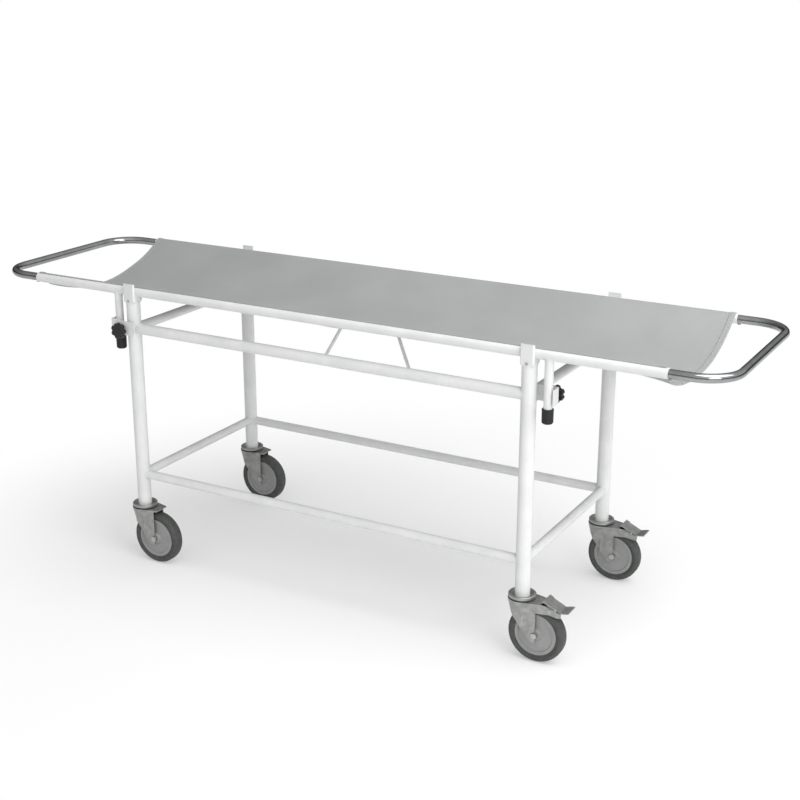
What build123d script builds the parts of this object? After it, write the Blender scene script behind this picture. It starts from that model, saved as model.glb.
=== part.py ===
from build123d import *
import math
import os

# Stretcher trolley: a wheeled tube frame that carries a lift-off sling stretcher.
# Millimetres. X runs along the trolley, Y across it to the rear, Z up.
# The origin is on the floor, under the middle of the trolley.

# Leg frame
leg_spacing_x = 1190.0
leg_spacing_y = 534.0
leg_dia = 38.0
leg_wall = 1.5
leg_length = 594.0
rail_wall = 1.5
lower_rail_dia = 25.0
lower_rail_above_leg_foot = 93.0
upper_rail_dia = 30.0
upper_cross_dia = 25.0
upper_rail_below_leg_top = 70.0

# Stretcher poles and pull-out handles
pole_wall = 1.8
pole_length = 1868.0
pole_above_leg = 34.0
handle_dia = 22.2
handle_wall = 1.2
handle_fit = 0.1
handle_reach = 141.0
handle_bend_radius = 90.0
handle_inside = 250.0
stop_pin_dia = 5.0
stop_pin_head_dia = 8.0
stop_pin_head_height = 3.0

# Stretcher feet, under the poles just outboard of the legs
foot_dia = 22.0
foot_wall = 1.5
foot_offset = 50.0
foot_length = 165.0
foot_tip_dia = 29.0
foot_tip_grip = 34.0
foot_tip_floor = 3.0
foot_tip_taper = 0.4
foot_tip_rim = 1.2
foot_tip_fit = 0.05

# Sling, a sheet of coated cloth hung between the poles
sling_end_margin = 4.0
sling_thickness = 3.0
sling_sag = 66.0
sling_side_drop = 3.3
sling_flank_radius = 40.0
sling_gap = 0.15
sling_edge_past_top = 4.0

# Spreader under the sling, and the bent rod frame welded below it
spreader_width = 30.0
spreader_thickness = 4.0
spreader_gap = 1.0
rod_dia = 9.0
rod_frame_top_width = 156.0
rod_frame_bottom_width = 290.0
rod_frame_height = 131.0
rod_frame_top_y = 6.0
rod_frame_lean = 0.195
rod_bend_radius = 20.0
rod_weld_depth = 0.5

# Cradles that hold the poles on the leg tops
cradle_width_x = 36.0
cradle_width_y = 38.0
cradle_blend_height = 9.0
cradle_rise = 23.0
cradle_inner_rise = 3.0
cradle_corner_radius = 4.0
cradle_slot_clearance = 0.3
cradle_sling_clearance = 0.6
cradle_spigot_length = 25.0
spigot_fit = 0.05
cradle_pocket_length = 25.0
cradle_pocket_width = 2.2
cradle_pocket_depth = 8.0
cradle_screw_above_leg = 10.5
cradle_screw_dia = 4.0
cradle_screw_head_dia = 8.0
cradle_screw_head_height = 2.2
cradle_screw_head_taper = 25.0
cradle_screw_length = 12.0
cradle_screw_end_gap = 1.0
screw_fit = 0.05

# Clamps that hold the stretcher feet beside the legs
clamp_below_rail = 3.0
clamp_turns = 3.0
thread_pitch = 1.25
clamp_clearance = 0.35
stud_dia = 8.0
stud_fit = 0.1
bush_dia = 14.0
bush_length = 26.0
bush_weld_depth = 0.6
claw_thickness = 2.5
clamp_above_claw_foot = 14.0
claw_height = 40.0
claw_inboard_reach = 20.0
claw_corner_radius = 24.0
sheet_bend_radius = 2.0
claw_joggle_run = 6.0
claw_lip_back = 10.0
strap_thickness = 3.0
strap_rail_gap = 1.0
strap_flange_start_y = 5.0
strap_nut_dia = 15.0
strap_nut_height = 6.5
pad_dia = 12.0
pad_thickness = 3.0
pad_socket_dia = 6.0
pad_socket_depth = 2.0
pad_gap = 0.4
knob_dia = 44.0
knob_thickness = 14.0
knob_hub_dia = 20.0
knob_hub_height = 5.0
knob_lobes = 7
knob_scallop_dia = 12.0
knob_gap = 0.4
knob_rim_chamfer = 1.2
knob_scallop_offset = 2.4

# Casters: wheel, fork and swivel head
wheel_dia = 150.0
tyre_width = 36.0
tyre_depth = 19.0
tyre_shoulder = 11.0
hub_ring_thickness = 10.0
hub_ring_inset = 2.0
hub_disc_inset = 3.0
hub_boss_dia = 36.0
hub_boss_draft = 4.0
hub_ring_draft = 1.5
hub_side_gap = 0.4
axle_dia = 10.0
axle_fit = 0.1
bolt_head_dia = 17.0
bolt_head_height = 3.5
bolt_head_taper = 15.0
bolt_past_nut = 1.5
nut_width = 17.0
nut_height = 5.0
caster_trail = 44.0
fork_sheet = 2.5
fork_boss_radius = 18.5
fork_boss_lead = 4.0
fork_wheel_gap = 6.0
fork_side_gap = 2.0
crown_radius = 36.0
crown_rear_x = 58.0
crown_above_wheel = 13.5
crown_thickness = 3.5
fork_shoulder_drop = 38.5
fork_front_x = -29.0
fork_rear_x = 46.0
cheek_front_x = -25.0
cheek_front_drop = 33.7
cheek_rear_x = 47.0
cheek_rear_drop = 47.5
fork_front_bow = 13.0
flute_x = 8.5
flute_radius = 4.0
flute_length = 34.0
flute_below_shoulder = 3.0
flute_proud = 1.2
head_radius = 35.0
head_above_crown = 2.5
head_height = 9.0
head_dish_radius = 29.0
head_dish_depth = 6.0
head_floor_margin = 3.0
head_race_radius = 26.0
head_edge = 1.5
swivel_gap = 0.3
kingpin_dia = 12.0
kingpin_head_dia = 22.0
kingpin_head_height = 4.0
kingpin_fit = 0.1
stem_length = 45.0
stem_chamfer = 2.0

# Brake on the two right-hand casters
arm_end_x = 113.0
arm_end_drop = 13.5
arm_end_height = 12.0
arm_end_corner = 2.0
arm_foot_length = 9.0
arm_under_length = 31.0
arm_under_rise = 3.5
arm_notch_drop = 26.5
arm_overlap = 4.0
arm_knee_x = 71.0
brake_pin_x = 84.0
brake_pin_drop = 11.5
brake_pin_dia = 6.0
brake_pin_fit = 0.1
brake_pin_head_dia = 9.0
brake_pin_head = 1.5
brake_angle = 20.0
brake_gap = 0.5
brake_contact_angle = 48.0
shoe_nose_radius = 3.0
shoe_width = 24.0
pedal_sheet = 2.5
pedal_front_x = 66.0
pedal_front_rise = 11.5
pedal_lip_length = 3.0
pedal_lip_drop = 5.0
pedal_knee_x = 110.0
pedal_knee_drop = 9.5
pedal_tip_x = 133.0
pedal_tip_drop = 5.5
pedal_corner_radius = 5.0
pedal_side_gap = 0.4
pedal_waist_start_x = 76.0
pedal_waist_past_arm = 2.5
pedal_ear_thickness = 2.5
pedal_ear_radius = 6.5
pedal_ear_front = 9.0
pedal_ear_rear = 13.0
pedal_ear_foot = 5.0

# Derived places
leg_x = leg_spacing_x / 2
leg_y = leg_spacing_y / 2
pole_bore = handle_dia + 2 * handle_fit
pole_dia = pole_bore + 2 * pole_wall
axle_z = wheel_dia / 2
crown_top_z = wheel_dia + crown_above_wheel
crown_bottom_z = crown_top_z - crown_thickness
head_bottom_z = crown_top_z + head_above_crown
head_rim_z = head_bottom_z + head_height
leg_bottom_z = head_rim_z - head_dish_depth
leg_top_z = leg_bottom_z + leg_length
lower_rail_z = leg_bottom_z + lower_rail_above_leg_foot
upper_rail_z = leg_top_z - upper_rail_below_leg_top
pole_z = leg_top_z + pole_above_leg
pole_end_x = pole_length / 2
handle_bar_x = pole_end_x + handle_reach
foot_end_z = pole_z - foot_length
foot_x = leg_x + foot_offset
clamp_z = upper_rail_z - clamp_below_rail
claw_bottom_z = clamp_z - clamp_above_claw_foot
clamp_travel = clamp_turns * thread_pitch
foot_seat = foot_dia / 2 + clamp_clearance + clamp_travel
leg_seat = leg_dia / 2 + clamp_clearance + clamp_travel
bush_offset = (leg_dia + bush_dia) / 2 - bush_weld_depth
lip_inner_x = foot_offset + foot_seat
strap_inner_y = foot_seat + pad_thickness + pad_gap
strap_outer_y = strap_inner_y + strap_thickness
strap_start_x = upper_cross_dia / 2 + strap_rail_gap
cheek_inner_y = tyre_width / 2 + fork_side_gap
fork_width = 2 * (cheek_inner_y + fork_sheet)

corners = {
    "front_left": (-1, -1),
    "front_right": (1, -1),
    "rear_left": (-1, 1),
    "rear_right": (1, 1),
}
ends = {"left": -1, "right": 1}
sides = {"front": -1, "rear": 1}

os.makedirs("parts", exist_ok=True)


def save(node, name):
    """Label a finished piece and write it."""
    node.label = name
    export_step(node, f"parts/{name}.step")


def save_at(shape, name, *places):
    """Write a piece made at the origin, set down at one or more places."""
    with BuildPart() as node:
        with Locations(*places):
            add(shape)
    save(node.part, name)


def corner_place(corner, turned=False):
    """The place of a leg axis on the floor, turned half round if asked."""
    end, side = corners[corner]
    return Location((end * leg_x, side * leg_y, 0), (0, 0, 180 if turned else 0))


# Legs: plain round tubes, open at both ends
with BuildPart() as leg:
    with BuildSketch(Plane.XY.offset(leg_bottom_z)):
        Circle(leg_dia / 2)
        Circle(leg_dia / 2 - leg_wall, mode=Mode.SUBTRACT)
    extrude(amount=leg_top_z - leg_bottom_z)

for corner in corners:
    save_at(leg.part, f"leg_{corner}", corner_place(corner))


# Rails: tubes welded between the legs, their ends saddled to the leg tubes
def rail(start, end, diameter, crossing=None):
    """A tube from one leg axis to the next, cut back to the leg surfaces.

    crossing is the diameter of the long rails that a cross rail must clear.
    """
    run = Vector(*end) - Vector(*start)
    with BuildPart() as tube:
        with BuildSketch(Plane(origin=start, z_dir=run)):
            Circle(diameter / 2)
            Circle(diameter / 2 - rail_wall, mode=Mode.SUBTRACT)
        extrude(amount=run.length)
        with BuildSketch(Plane.XY.offset(start[2] - diameter)):
            with Locations((start[0], start[1]), (end[0], end[1])):
                Circle(leg_dia / 2)
        extrude(amount=2 * diameter, mode=Mode.SUBTRACT)
        if crossing:
            with BuildSketch(Plane.YZ.offset(start[0] - diameter)):
                with Locations((start[1], start[2]), (end[1], end[2])):
                    Circle(crossing / 2)
            extrude(amount=2 * diameter, mode=Mode.SUBTRACT)
    return tube.part


for side, sign in sides.items():
    y = sign * leg_y
    upper = rail((-leg_x, y, upper_rail_z), (leg_x, y, upper_rail_z), upper_rail_dia)
    lower = rail((-leg_x, y, lower_rail_z), (leg_x, y, lower_rail_z), lower_rail_dia)
    save(upper, f"upper_rail_{side}")
    save(lower, f"lower_rail_{side}")

for end, sign in ends.items():
    x = sign * leg_x
    upper = rail((x, -leg_y, upper_rail_z), (x, leg_y, upper_rail_z),
                 upper_cross_dia, upper_rail_dia)
    lower = rail((x, -leg_y, lower_rail_z), (x, leg_y, lower_rail_z),
                 lower_rail_dia, lower_rail_dia)
    save(upper, f"upper_cross_rail_{end}")
    save(lower, f"lower_cross_rail_{end}")


# Sling section: it wraps the pole tops, turns off their inner flanks and sags between them.
# The lower face is an arc through the sag and a point below each pole, with a small arc at
# each pole.
sag_rise = sling_sag - sling_side_drop
sling_sag_radius = (sag_rise**2 + leg_y**2) / (2 * sag_rise)
sling_length = pole_length - 2 * sling_end_margin
sag_centre = Vector(0, pole_z - sling_sag + sling_sag_radius)
pole_centre = Vector(leg_y, pole_z)
wrap_radius = pole_dia / 2 + sling_gap


def flank_arc(pole_clearance, sag_radius, flank_radius):
    """Centre and end points of the arc that joins the sag to the wrap on the rear pole."""
    reach_sag = sag_radius - flank_radius
    reach_pole = flank_radius + pole_clearance
    across = pole_centre - sag_centre
    span = across.length
    along = (reach_sag**2 - reach_pole**2 + span**2) / (2 * span)
    out = math.sqrt(reach_sag**2 - along**2)
    unit = across.normalized()
    inward = Vector(unit.Y, -unit.X)
    centre = sag_centre + unit * along + inward * out
    on_sag = sag_centre + (centre - sag_centre) * (sag_radius / reach_sag)
    on_pole = centre + (pole_centre - centre) * (flank_radius / reach_pole)
    return centre, on_sag, on_pole


def mid_of_arc(centre, radius, first, second):
    """The point half way along the shorter arc between two points."""
    middle = (first + second) * 0.5 - centre
    return centre + middle.normalized() * radius


flank_centre, flank_low, flank_high = flank_arc(
    wrap_radius, sling_sag_radius, sling_flank_radius)


def sling_face(extra):
    """Points along one face of the sling, offset upwards from its lower face by extra."""
    sag = sling_sag_radius - extra
    flank = sling_flank_radius - extra
    wrap = wrap_radius + extra
    low = sag_centre + (flank_low - sag_centre).normalized() * sag
    high = flank_centre + (flank_high - flank_centre).normalized() * flank
    edge_angle = math.asin(sling_edge_past_top / wrap_radius)
    edge = pole_centre + Vector(math.sin(edge_angle), math.cos(edge_angle)) * wrap
    knee = mid_of_arc(flank_centre, flank, low, high)
    crest = mid_of_arc(pole_centre, wrap, high, edge)
    bottom = sag_centre - Vector(0, sag)
    return bottom, low, knee, high, crest, edge


with BuildPart() as sling:
    with BuildSketch(Plane.YZ.offset(-sling_length / 2)):
        with BuildLine():
            for extra in (0.0, sling_thickness):
                bottom, low, knee, high, crest, edge = sling_face(extra)
                for hand in (1, -1):
                    flip = [Vector(hand * p.X, p.Y) for p in (low, knee, high, crest, edge)]
                    ThreePointArc(flip[0], flip[1], flip[2])
                    ThreePointArc(flip[2], flip[3], flip[4])
                ThreePointArc((-low.X, low.Y), bottom, low)
            under, over = sling_face(0.0)[-1], sling_face(sling_thickness)[-1]
            for hand in (1, -1):
                Line((hand * under.X, under.Y), (hand * over.X, over.Y))
        make_face()
    extrude(amount=sling_length)
save(sling.part, "sling")

# Poles: tubes that the handles slide into
for side, sign in sides.items():
    with BuildPart() as pole:
        with BuildSketch(Plane.YZ.offset(-pole_length / 2)):
            with Locations((sign * leg_y, pole_z)):
                Circle(pole_dia / 2)
                Circle(pole_bore / 2, mode=Mode.SUBTRACT)
        extrude(amount=pole_length)
    save(pole.part, f"pole_{side}")

# Handles: one bent tube at each end, its two legs inside the poles.
# A rivet under each leg stops the handle at the end of its pole.
pin_x = pole_end_x + stop_pin_head_dia / 2 + handle_fit
inner_end_x = pole_end_x - handle_inside
for end, sign in ends.items():
    with BuildPart() as handle:
        with BuildLine():
            FilletPolyline(
                (sign * inner_end_x, -leg_y, pole_z),
                (sign * handle_bar_x, -leg_y, pole_z),
                (sign * handle_bar_x, leg_y, pole_z),
                (sign * inner_end_x, leg_y, pole_z),
                radius=handle_bend_radius,
            )
        with BuildSketch(Plane(origin=(sign * inner_end_x, -leg_y, pole_z), z_dir=(sign, 0, 0))):
            Circle(handle_dia / 2)
            Circle(handle_dia / 2 - handle_wall, mode=Mode.SUBTRACT)
        sweep()
        with BuildSketch(Plane.XY.offset(pole_z - handle_dia)):
            with Locations(*[(sign * pin_x, hand * leg_y) for hand in (-1, 1)]):
                Circle(stop_pin_dia / 2)
        extrude(amount=handle_dia, mode=Mode.SUBTRACT)
    with BuildPart() as pins:
        with BuildSketch(Plane.XY.offset(pole_z - handle_dia / 2 - stop_pin_head_height)):
            with Locations(*[(sign * pin_x, hand * leg_y) for hand in (-1, 1)]):
                Circle(stop_pin_head_dia / 2)
        extrude(amount=stop_pin_head_height + handle_wall)
        with BuildSketch(Plane.YZ.offset(sign * pin_x - stop_pin_head_dia)):
            with Locations((-leg_y, pole_z), (leg_y, pole_z)):
                Circle(handle_dia / 2)
        extrude(amount=2 * stop_pin_head_dia, mode=Mode.SUBTRACT)
        with BuildSketch(Plane.XY.offset(pole_z - handle_dia / 2 - stop_pin_head_height / 2)):
            with Locations(*[(sign * pin_x, hand * leg_y) for hand in (-1, 1)]):
                Circle(stop_pin_dia / 2)
        extrude(amount=stop_pin_head_height / 2 + 2 * handle_wall)
    with BuildPart() as handle_with_pins:
        add(handle.part)
        add(pins.part)
    save(handle_with_pins.part, f"handle_{end}")

# Stretcher feet: tubes saddled to the pole undersides, each with a rubber tip
with BuildPart() as foot_tubes:
    with BuildSketch(Plane.XY.offset(foot_end_z)):
        for end, side in corners.values():
            with Locations((end * foot_x, side * leg_y)):
                Circle(foot_dia / 2)
                Circle(foot_dia / 2 - foot_wall, mode=Mode.SUBTRACT)
    extrude(amount=pole_z - foot_end_z)
    with BuildSketch(Plane.YZ.offset(-pole_length / 2)):
        with Locations((-leg_y, pole_z), (leg_y, pole_z)):
            Circle(pole_dia / 2)
    extrude(amount=pole_length, mode=Mode.SUBTRACT)
save(foot_tubes.part, "foot_tubes")

tip_outer = foot_tip_dia / 2
tip_bore = foot_dia / 2 + foot_tip_fit
tip_base_z = foot_end_z - foot_tip_floor
foot_tip_top_z = foot_end_z + foot_tip_grip
with BuildPart() as foot_tip:
    with BuildSketch(Plane.XZ):
        with BuildLine():
            Polyline(
                (0, tip_base_z),
                (tip_outer - foot_tip_floor, tip_base_z),
                (tip_outer - foot_tip_taper, tip_base_z + foot_tip_floor),
                (tip_outer, foot_tip_top_z - foot_tip_rim),
                (tip_outer - foot_tip_rim, foot_tip_top_z),
                (tip_bore, foot_tip_top_z),
                (tip_bore, foot_end_z),
                (0, foot_end_z),
                close=True,
            )
        make_face()
    revolve(axis=Axis.Z)
foot_places = [Location((end * foot_x, side * leg_y, 0)) for end, side in corners.values()]
save_at(foot_tip.part, "foot_tips", *foot_places)

# Spreader: an arched flat bar that keeps the poles apart, close under the sling
spreader_top_radius = sling_sag_radius + spreader_gap
spreader_bottom_radius = spreader_top_radius + spreader_thickness
with BuildPart() as spreader:
    with BuildSketch(Plane.YZ.offset(-spreader_width / 2)):
        with Locations((sag_centre.X, sag_centre.Y)):
            Circle(spreader_bottom_radius)
            Circle(spreader_top_radius, mode=Mode.SUBTRACT)
        with Locations((0, pole_z - sling_sag)):
            Rectangle(2 * leg_y, 2 * sling_sag, mode=Mode.INTERSECT)
    extrude(amount=spreader_width)
    with BuildSketch(Plane.YZ.offset(-spreader_width)):
        with Locations((-leg_y, pole_z), (leg_y, pole_z)):
            Circle(pole_dia / 2)
    extrude(amount=2 * spreader_width, mode=Mode.SUBTRACT)
save(spreader.part, "spreader")

# Rod frame: a closed trapezium of bent rod that leans to the front, welded under the spreader
rod_top_z = sag_centre.Y - spreader_bottom_radius - rod_dia / 2 + rod_weld_depth
rod_bottom_z = rod_top_z - rod_frame_height
rod_bottom_y = rod_frame_top_y - rod_frame_lean * rod_frame_height
rod_corners = [
    (-rod_frame_top_width / 2, rod_frame_top_y, rod_top_z),
    (-rod_frame_bottom_width / 2, rod_bottom_y, rod_bottom_z),
    (rod_frame_bottom_width / 2, rod_bottom_y, rod_bottom_z),
    (rod_frame_top_width / 2, rod_frame_top_y, rod_top_z),
]
with BuildPart() as rod_frame:
    with BuildLine():
        FilletPolyline(*rod_corners, radius=rod_bend_radius, close=True)
    with BuildSketch(Plane(origin=(0, rod_frame_top_y, rod_top_z), z_dir=(1, 0, 0))):
        Circle(rod_dia / 2)
    sweep()
    with BuildSketch(Plane.YZ.offset(-spreader_width)):
        with Locations((sag_centre.X, sag_centre.Y)):
            Circle(spreader_bottom_radius)
    extrude(amount=2 * spreader_width, mode=Mode.SUBTRACT)
save(rod_frame.part, "rod_frame")

# Cradles: round at the leg, square above, with a slot for the pole.
# The inner cheek is low and hollowed, so that the sling passes over it.
cradle_seat_z = leg_top_z + cradle_blend_height
cradle_top_z = pole_z + cradle_rise
cradle_inner_top_z = pole_z + cradle_inner_rise
cradle_screw_z = leg_top_z + cradle_screw_above_leg
spigot_radius = leg_dia / 2 - leg_wall - spigot_fit


def cradle(side):
    """A cradle at the origin of its leg; side is the sign of its outer face."""
    with BuildPart() as block:
        with BuildSketch(Plane.XY.offset(leg_top_z)):
            Circle(leg_dia / 2)
        with BuildSketch(Plane.XY.offset(cradle_seat_z)):
            RectangleRounded(cradle_width_x, cradle_width_y, cradle_corner_radius)
        loft()
        with BuildSketch(Plane.XY.offset(cradle_seat_z)):
            RectangleRounded(cradle_width_x, cradle_width_y, cradle_corner_radius)
        extrude(amount=cradle_top_z - cradle_seat_z)
        with BuildSketch(Plane.XY.offset(leg_top_z - cradle_spigot_length)):
            Circle(spigot_radius)
        extrude(amount=cradle_spigot_length)
        slot_radius = pole_dia / 2 + cradle_slot_clearance
        slot_top = cradle_top_z + cradle_corner_radius
        with BuildSketch(Plane.YZ.offset(-cradle_width_x)):
            with Locations((0, pole_z)):
                Circle(slot_radius)
            with Locations((0, (pole_z + slot_top) / 2)):
                Rectangle(2 * slot_radius, slot_top - pole_z)
            with Locations((-side * cradle_width_y / 2, (cradle_inner_top_z + slot_top) / 2)):
                Rectangle(cradle_width_y, slot_top - cradle_inner_top_z)
            with Locations((-side * (leg_y - flank_centre.X), flank_centre.Y)):
                Circle(sling_flank_radius + cradle_sling_clearance)
        extrude(amount=2 * cradle_width_x, mode=Mode.SUBTRACT)
        cheek_middle = (slot_radius + cradle_width_y / 2) / 2
        with BuildSketch(Plane.XY.offset(cradle_top_z)):
            with Locations((0, side * cheek_middle)):
                SlotOverall(cradle_pocket_length, cradle_pocket_width)
        extrude(amount=-cradle_pocket_depth, mode=Mode.SUBTRACT)
        with BuildSketch(Plane.XZ.offset(-side * cradle_width_y / 2)):
            with Locations((0, cradle_screw_z)):
                Circle(cradle_screw_dia / 2 + screw_fit)
        extrude(amount=side * cradle_screw_length, mode=Mode.SUBTRACT)
    return block.part


for corner, (end, side) in corners.items():
    save_at(cradle(side), f"cradle_{corner}", corner_place(corner))

# Cradle screws: one domed screw in the outer face of each cradle
with BuildPart() as cradle_screws:
    for end, side in corners.values():
        face_y = side * (leg_y + cradle_width_y / 2)
        with BuildSketch(Plane(origin=(end * leg_x, face_y, cradle_screw_z), z_dir=(0, side, 0))):
            Circle(cradle_screw_head_dia / 2)
        extrude(amount=cradle_screw_head_height, taper=cradle_screw_head_taper)
        with BuildSketch(Plane(origin=(end * leg_x, face_y, cradle_screw_z), z_dir=(0, side, 0))):
            Circle(cradle_screw_dia / 2)
        extrude(amount=cradle_screw_end_gap - cradle_screw_length)
save(cradle_screws.part, "cradle_screws")

# Swivel heads: a turned head with a raised rim, its stem up the leg and its king pin
# down through the fork crown, headed over below
pin_head_z = crown_bottom_z - swivel_gap
with BuildPart() as swivel_head:
    with BuildSketch(Plane.XZ):
        with BuildLine():
            Polyline(
                (0, pin_head_z - kingpin_head_height),
                (kingpin_head_dia / 2 - head_edge, pin_head_z - kingpin_head_height),
                (kingpin_head_dia / 2, pin_head_z - kingpin_head_height + head_edge),
                (kingpin_head_dia / 2, pin_head_z),
                (kingpin_dia / 2, pin_head_z),
                (kingpin_dia / 2, crown_top_z + swivel_gap),
                (head_race_radius, crown_top_z + swivel_gap),
                (head_race_radius, head_bottom_z),
                (head_radius - head_edge, head_bottom_z),
                (head_radius, head_bottom_z + head_edge),
                (head_radius, head_rim_z - head_edge),
                (head_radius - head_edge, head_rim_z),
                (head_dish_radius, head_rim_z),
                (leg_dia / 2 + head_floor_margin, leg_bottom_z),
                (spigot_radius, leg_bottom_z),
                (spigot_radius, leg_bottom_z + stem_length - stem_chamfer),
                (spigot_radius - stem_chamfer, leg_bottom_z + stem_length),
                (0, leg_bottom_z + stem_length),
                close=True,
            )
        make_face()
    revolve(axis=Axis.Z)


def crown_outline(front_radius, rear_x, half_width):
    """A round front joined by straight sides to a square rear edge."""
    reach = math.hypot(rear_x, half_width)
    turn = math.atan2(half_width, rear_x) + math.acos(front_radius / reach)
    touch = (front_radius * math.cos(turn), front_radius * math.sin(turn))
    with BuildSketch() as outline:
        with BuildLine():
            ThreePointArc(touch, (-front_radius, 0), (touch[0], -touch[1]))
            Polyline((touch[0], -touch[1]), (rear_x, -half_width), (rear_x, half_width), touch)
        make_face()
    return outline.sketch


def cheek_outline(front_x, rear_x, half_width):
    """The fork in plan at the shoulder: a bowed front and flat sides."""
    bow = front_x + fork_front_bow
    with BuildSketch() as outline:
        with BuildLine():
            ThreePointArc((bow, half_width), (front_x, 0), (bow, -half_width))
            Polyline(
                (bow, -half_width), (rear_x, -half_width), (rear_x, half_width), (bow, half_width)
            )
        make_face()
    return outline.sketch


def tangent_point(point, centre, radius, hand):
    """Where the line from a point touches a circle, on the side given by hand."""
    reach = Vector(*centre) - Vector(*point)
    swing = math.asin(radius / reach.length) * hand
    length = math.sqrt(reach.length**2 - radius**2)
    heading = math.atan2(reach.Y, reach.X) + swing
    return (point[0] + length * math.cos(heading), point[1] + length * math.sin(heading))


axle_point = (caster_trail, axle_z)
boss_point = (caster_trail - fork_boss_lead, axle_z)
fork_shoulder_z = crown_top_z - fork_shoulder_drop
flute_top_z = fork_shoulder_z - flute_below_shoulder
arm_end_top_z = crown_top_z - arm_end_drop
arm_end_bottom_z = arm_end_top_z - arm_end_height
arm_notch_z = crown_top_z - arm_notch_drop
brake_pin_z = crown_top_z - brake_pin_drop


def fork(braked):
    """A pressed fork: round crown, drawn in at the shoulder to two flat cheeks."""
    with BuildPart() as core:
        with BuildSketch(Plane.XY.offset(crown_bottom_z)):
            add(crown_outline(crown_radius - fork_sheet, fork_rear_x + fork_sheet, cheek_inner_y))
        with BuildSketch(Plane.XY.offset(fork_shoulder_z)):
            add(cheek_outline(fork_front_x + fork_sheet, fork_rear_x + fork_sheet, cheek_inner_y))
        loft()
        with BuildSketch(Plane.XY.offset(fork_shoulder_z)):
            add(cheek_outline(fork_front_x + fork_sheet, fork_rear_x + fork_sheet, cheek_inner_y))
        extrude(amount=-fork_shoulder_z)
        with BuildSketch(Plane.XZ):
            with Locations(axle_point):
                Circle(axle_z + fork_wheel_gap)
        extrude(amount=cheek_inner_y, both=True)

    with BuildPart() as body:
        with BuildSketch(Plane.XY.offset(crown_bottom_z)):
            add(crown_outline(crown_radius, fork_rear_x, fork_width / 2))
        with BuildSketch(Plane.XY.offset(fork_shoulder_z)):
            add(cheek_outline(fork_front_x, fork_rear_x, fork_width / 2))
        loft()
        with BuildSketch(Plane.XY.offset(fork_shoulder_z)):
            add(cheek_outline(fork_front_x, fork_rear_x, fork_width / 2))
        extrude(amount=-fork_shoulder_z)
        for side in (-1, 1):
            rib_y = side * (fork_width / 2 + flute_proud - flute_radius)
            with BuildSketch(Plane.XY.offset(flute_top_z)):
                with Locations((flute_x, rib_y)):
                    Circle(flute_radius)
            extrude(amount=-flute_length)
        cheek_front = (cheek_front_x, crown_top_z - cheek_front_drop)
        cheek_rear = (cheek_rear_x, crown_top_z - cheek_rear_drop)
        low = tangent_point(cheek_front, boss_point, fork_boss_radius, -1)
        right = tangent_point(cheek_rear, boss_point, fork_boss_radius, 1)
        lean = (cheek_front[0] - low[0]) / (cheek_front[1] - low[1])
        front_top_x = cheek_front[0] + lean * (crown_bottom_z - cheek_front[1])
        with BuildSketch(Plane.XZ):
            with BuildLine():
                Polyline(
                    low,
                    boss_point,
                    right,
                    cheek_rear,
                    (fork_rear_x, arm_notch_z),
                    (fork_rear_x, crown_bottom_z),
                    (front_top_x, crown_bottom_z),
                    close=True,
                )
            make_face()
            with Locations(boss_point):
                Circle(fork_boss_radius)
        extrude(amount=2 * crown_radius, both=True, mode=Mode.INTERSECT)
        add(core.part, mode=Mode.SUBTRACT)
        with BuildSketch(Plane.XY.offset(crown_bottom_z)):
            add(crown_outline(crown_radius, crown_rear_x, fork_width / 2))
        extrude(amount=crown_thickness)
        if braked:
            for inner_y in (cheek_inner_y, -fork_width / 2):
                with BuildSketch(Plane.XZ.offset(-inner_y - fork_sheet)):
                    with BuildLine():
                        Polyline(
                            (fork_rear_x - arm_overlap, crown_top_z),
                            (arm_knee_x, crown_top_z),
                            (arm_end_x, arm_end_top_z),
                            (arm_end_x, arm_end_bottom_z + arm_end_corner),
                            (arm_end_x - arm_foot_length, arm_end_bottom_z),
                            (arm_end_x - arm_under_length, arm_end_bottom_z + arm_under_rise),
                            (fork_rear_x - arm_overlap, arm_notch_z),
                            close=True,
                        )
                    make_face()
                    with Locations((brake_pin_x, brake_pin_z)):
                        Circle(brake_pin_dia / 2, mode=Mode.SUBTRACT)
                extrude(amount=fork_sheet)
        with BuildSketch(Plane.XZ):
            with Locations(axle_point):
                Circle(axle_dia / 2)
        extrude(amount=fork_width, both=True, mode=Mode.SUBTRACT)
        with BuildSketch(Plane.XY.offset(crown_bottom_z)):
            Circle(kingpin_dia / 2 + kingpin_fit)
        extrude(amount=crown_thickness, mode=Mode.SUBTRACT)
    return body.part


# Wheels: a grey moulded hub with a raised ring, and a rubber tyre with round shoulders
wheel_plane = Plane(origin=(caster_trail, 0, axle_z))
wheel_axis = Axis((caster_trail, 0, axle_z), (0, 1, 0))
hub_half = cheek_inner_y - hub_side_gap
hub_dia = wheel_dia - 2 * tyre_depth
hub_ring_dia = hub_dia - 2 * hub_ring_thickness
ring_half = tyre_width / 2 - hub_ring_inset
disc_half = ring_half - hub_disc_inset
with BuildPart() as wheel_hub:
    with BuildSketch(wheel_plane):
        with BuildLine():
            Polyline(
                (axle_dia / 2 + axle_fit, 0),
                (axle_dia / 2 + axle_fit, hub_half),
                (hub_boss_dia / 2 - hub_boss_draft, hub_half),
                (hub_boss_dia / 2, disc_half),
                (hub_ring_dia / 2, disc_half),
                (hub_ring_dia / 2 + hub_ring_draft, ring_half),
                (hub_dia / 2 - hub_ring_draft, ring_half),
                (hub_dia / 2, ring_half - hub_ring_draft),
                (hub_dia / 2, 0),
                close=True,
            )
        make_face()
        mirror(about=Plane.XZ)
    revolve(axis=wheel_axis)

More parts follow.
